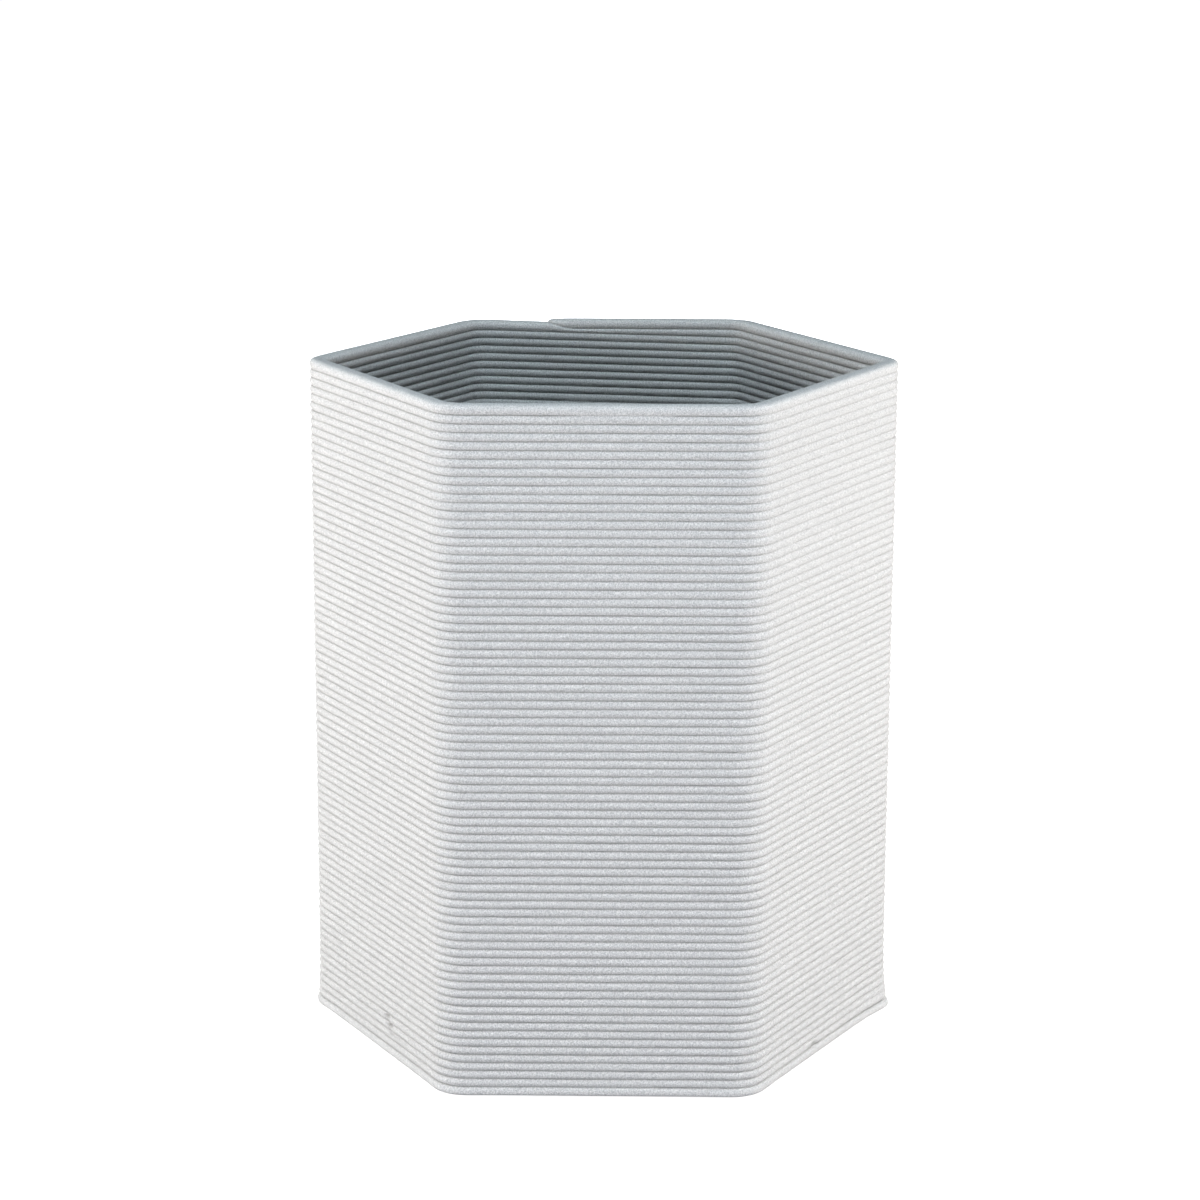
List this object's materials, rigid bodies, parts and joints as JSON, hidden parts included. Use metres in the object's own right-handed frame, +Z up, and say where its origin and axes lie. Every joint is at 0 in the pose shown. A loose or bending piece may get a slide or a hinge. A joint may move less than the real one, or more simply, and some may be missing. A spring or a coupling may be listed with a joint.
{
  "type": "hexagonal planter pot",
  "caption": "Open hexagonal pot printed in one stacked bead, with a floor, drain plug, foot pads and a round lift-out liner.",
  "frame": {"origin": "on the table, under the middle of the pot", "axes": "+Z up along the pot's axis, -Y out of the flat front face, +X to the corner on the right of that face; the last bead ends in the rim of the back face, at +Y"},
  "size_m": [0.2175, 0.1904, 0.2492],
  "materials": {
    "printed_plastic": "matte",
    "liner_plastic": "satin",
    "plug_rubber": "matte",
    "pad_rubber": "matte"
  },
  "bodies": {
    "pot": {"printed_wall": "printed_plastic", "printed_floor": "printed_plastic", "foot_pad_1": "pad_rubber", "foot_pad_2": "pad_rubber", "foot_pad_3": "pad_rubber", "foot_pad_4": "pad_rubber", "foot_pad_5": "pad_rubber", "foot_pad_6": "pad_rubber"},
    "plug": {"drain_plug": "plug_rubber"},
    "liner": {"liner": "liner_plastic"}
  },
  "joints": [
    {"name": "liner_lift", "type": "slide", "parent": "pot", "child": "liner", "axis": [0, 0, 1], "range_m": [0, 0.25]},
    {"name": "plug_pull", "type": "slide", "parent": "pot", "child": "plug", "axis": [0, 0, 1], "range_m": [0, 0.0075]}
  ]
}
